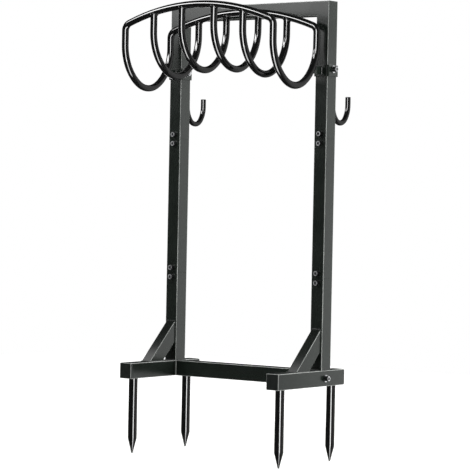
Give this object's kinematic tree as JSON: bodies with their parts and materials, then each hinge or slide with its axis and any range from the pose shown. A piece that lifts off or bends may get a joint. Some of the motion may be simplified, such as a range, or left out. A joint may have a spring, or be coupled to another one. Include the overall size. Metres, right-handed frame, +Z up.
{
  "type": "freestanding hose holder",
  "caption": "Freestanding garden hose holder: a bolted black tube frame on spiked feet, with a bent-rod hanger basket for a coiled hose and rear hooks for hand tools.",
  "frame": {"origin": "middle of the ground-spike pattern, on the undersides of the feet", "axes": "X across the stand, -Y to the front where the hanger basket is, +Z up"},
  "size_m": [0.4628, 0.3033, 1.012],
  "materials": {
    "tube_paint": "satin black powder coat",
    "rod_paint": "gloss black paint",
    "spike_paint": "gloss black paint",
    "black_fastener": "black oxide steel",
    "bare_steel": "plain steel",
    "cap_plastic": "moulded black plastic"
  },
  "bodies": {
    "root": {"crossbar": "tube_paint", "crossbar_screws": "black_fastener", "crossbar_threaded_plugs": "bare_steel", "crossbar_washers": "black_fastener", "foot_end_caps": "cap_plastic", "hanger_front_arch": "rod_paint", "hanger_rear_arch": "rod_paint", "hanger_rib_1": "rod_paint", "hanger_rib_2": "rod_paint", "hanger_rib_3": "rod_paint", "hanger_rib_4": "rod_paint", "left_base_post": "tube_paint", "left_brace": "tube_paint", "left_end_hoop": "rod_paint", "left_foot": "tube_paint", "left_front_spike": "spike_paint", "left_hook_plate": "tube_paint", "left_lower_spigot": "bare_steel", "left_middle_post": "tube_paint", "left_rear_spike": "spike_paint", "left_saddle": "tube_paint", "left_saddle_tab": "tube_paint", "left_tool_hook": "rod_paint", "left_top_leg": "tube_paint", "left_upper_spigot": "bare_steel", "post_joint_screws": "black_fastener", "right_base_post": "tube_paint", "right_brace": "tube_paint", "right_end_hoop": "rod_paint", "right_foot": "tube_paint", "right_front_spike": "spike_paint", "right_hook_plate": "tube_paint", "right_lower_spigot": "bare_steel", "right_middle_post": "tube_paint", "right_rear_spike": "spike_paint", "right_saddle": "tube_paint", "right_saddle_tab": "tube_paint", "right_tool_hook": "rod_paint", "right_top_leg": "tube_paint", "right_upper_spigot": "bare_steel", "saddle_bolts": "black_fastener", "saddle_nuts": "black_fastener", "saddle_washers": "black_fastener", "spigot_weld_nuts": "bare_steel", "spike_weld_nuts": "bare_steel", "top_rail": "tube_paint"}
  },
  "joints": []
}
